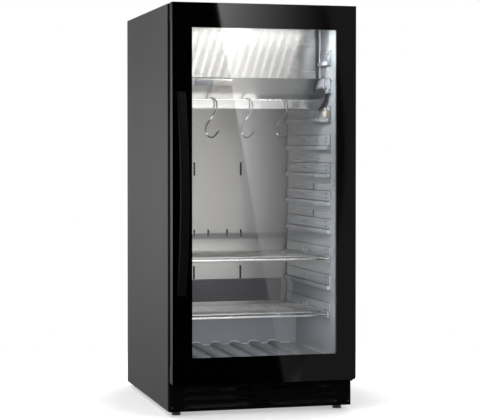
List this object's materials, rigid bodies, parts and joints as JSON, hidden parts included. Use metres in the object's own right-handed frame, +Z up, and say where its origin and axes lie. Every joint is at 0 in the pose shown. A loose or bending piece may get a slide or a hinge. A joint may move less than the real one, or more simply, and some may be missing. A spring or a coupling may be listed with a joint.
{
  "type": "dry aging cabinet",
  "caption": "Free-standing dry aging cabinet with a right-hinged glass door, bowed handle, wire shelves, a drip tray and a hanging rail with S-hooks",
  "frame": {"origin": "middle of the whole cabinet's footprint, handle included, on the floor under the levelling feet", "axes": "+X to the right as seen from the front, +Y from the door to the back, +Z up"},
  "size_m": [0.595, 0.8, 1.285],
  "materials": {
    "graphite_paint": "satin",
    "dark_edge": "satin",
    "black_steel": "satin",
    "black_glass": "gloss",
    "clear_glass": "gloss",
    "zinc_sheet": "satin",
    "stainless": "brushed",
    "polished_steel": "polished",
    "liner_grey": "matte",
    "foam": "matte",
    "seal_black": "matte",
    "black_plastic": "matte",
    "white_plastic": "gloss",
    "light_lens": "gloss",
    "carbon_felt": "matte",
    "copper": "polished",
    "fin_aluminium": "satin"
  },
  "bodies": {
    "cabinet": {"air_guide": "stainless", "air_sensor": "white_plastic", "back_panel": "stainless", "base_pan": "zinc_sheet", "cable_gland": "black_plastic", "carbon_filter": "carbon_felt", "compressor": "black_steel", "condenser_coil": "fin_aluminium", "condenser_fan_motor": "zinc_sheet", "condenser_fan_shroud": "black_plastic", "control_box": "white_plastic", "defrost_channel": "white_plastic", "discharge_pipe": "copper", "evaporation_tray": "black_plastic", "evaporator_coil": "fin_aluminium", "evaporator_fan_motor": "zinc_sheet", "evaporator_fan_shroud": "black_plastic", "evaporator_housing": "stainless", "filter_drier": "copper", "front_frame": "graphite_paint", "hanging_rail": "polished_steel", "hinge_bracket_bottom": "black_steel", "hinge_bracket_top": "black_steel", "hinge_pin_bottom": "polished_steel", "hinge_pin_top": "polished_steel", "inner_liner": "liner_grey", "insulation_foam": "foam", "light_housing": "white_plastic", "light_lens": "light_lens", "machine_cover": "zinc_sheet", "plinth_grille": "black_plastic", "rail_bracket_left": "stainless", "rail_bracket_right": "stainless", "rear_panel": "zinc_sheet", "side_panel_left": "graphite_paint", "side_panel_right": "graphite_paint", "suction_pipe": "copper", "top_panel": "graphite_paint", "underbody_panel": "zinc_sheet"},
    "door": {"door_gasket": "seal_black", "door_glass_spacer": "black_plastic", "door_handle": "black_steel", "door_inner_glass": "clear_glass", "door_outer_glass": "black_glass", "door_rail_bottom": "dark_edge", "door_rail_top": "dark_edge", "door_stile_left": "graphite_paint", "door_stile_right": "graphite_paint"},
    "shelf_upper": {"shelf_upper": "polished_steel"},
    "shelf_lower": {"shelf_lower": "polished_steel"},
    "drip_tray": {"drip_tray": "liner_grey"},
    "hook_left": {"hook_left": "polished_steel"},
    "hook_middle": {"hook_middle": "polished_steel"},
    "hook_right": {"hook_right": "polished_steel"},
    "evaporator_fan": {"evaporator_fan": "black_plastic"},
    "condenser_fan": {"condenser_fan": "black_plastic"},
    "foot_front_left": {"foot_front_left": "black_plastic"},
    "foot_front_right": {"foot_front_right": "black_plastic"},
    "foot_rear_left": {"foot_rear_left": "black_plastic"},
    "foot_rear_right": {"foot_rear_right": "black_plastic"}
  },
  "joints": [
    {"name": "door_hinge", "type": "hinge", "parent": "cabinet", "child": "door", "pos_m": [0.285, -0.306, 0], "axis": [0, 0, 1], "range_deg": [0, 110]},
    {"name": "shelf_upper_slide", "type": "slide", "parent": "cabinet", "child": "shelf_upper", "axis": [0, -1, 0], "range_m": [0, 0.08]},
    {"name": "shelf_lower_slide", "type": "slide", "parent": "cabinet", "child": "shelf_lower", "axis": [0, -1, 0], "range_m": [0, 0.08]},
    {"name": "drip_tray_slide", "type": "slide", "parent": "cabinet", "child": "drip_tray", "axis": [0, -1, 0], "range_m": [0, 0.03]},
    {"name": "hook_left_swing", "type": "hinge", "parent": "cabinet", "child": "hook_left", "pos_m": [-0.108, -0.065, 0.995], "axis": [1, 0, 0], "range_deg": [-15, 15]},
    {"name": "hook_middle_swing", "type": "hinge", "parent": "cabinet", "child": "hook_middle", "pos_m": [0.012, -0.065, 0.995], "axis": [1, 0, 0], "range_deg": [-15, 15]},
    {"name": "hook_right_swing", "type": "hinge", "parent": "cabinet", "child": "hook_right", "pos_m": [0.132, -0.065, 0.995], "axis": [1, 0, 0], "range_deg": [-15, 15]},
    {"name": "evaporator_fan_spin", "type": "hinge", "parent": "cabinet", "child": "evaporator_fan", "pos_m": [0, 0.145, 1.1465], "axis": [0, 1, 0], "continuous": true},
    {"name": "condenser_fan_spin", "type": "hinge", "parent": "cabinet", "child": "condenser_fan", "pos_m": [-0.13, 0.313, 0.0918], "axis": [1, 0, 0], "continuous": true},
    {"name": "foot_front_left_adjust", "type": "slide", "parent": "cabinet", "child": "foot_front_left", "axis": [0, 0, -1], "range_m": [0, 0.015]},
    {"name": "foot_front_right_adjust", "type": "slide", "parent": "cabinet", "child": "foot_front_right", "axis": [0, 0, -1], "range_m": [0, 0.015]},
    {"name": "foot_rear_left_adjust", "type": "slide", "parent": "cabinet", "child": "foot_rear_left", "axis": [0, 0, -1], "range_m": [0, 0.015]},
    {"name": "foot_rear_right_adjust", "type": "slide", "parent": "cabinet", "child": "foot_rear_right", "axis": [0, 0, -1], "range_m": [0, 0.015]}
  ]
}
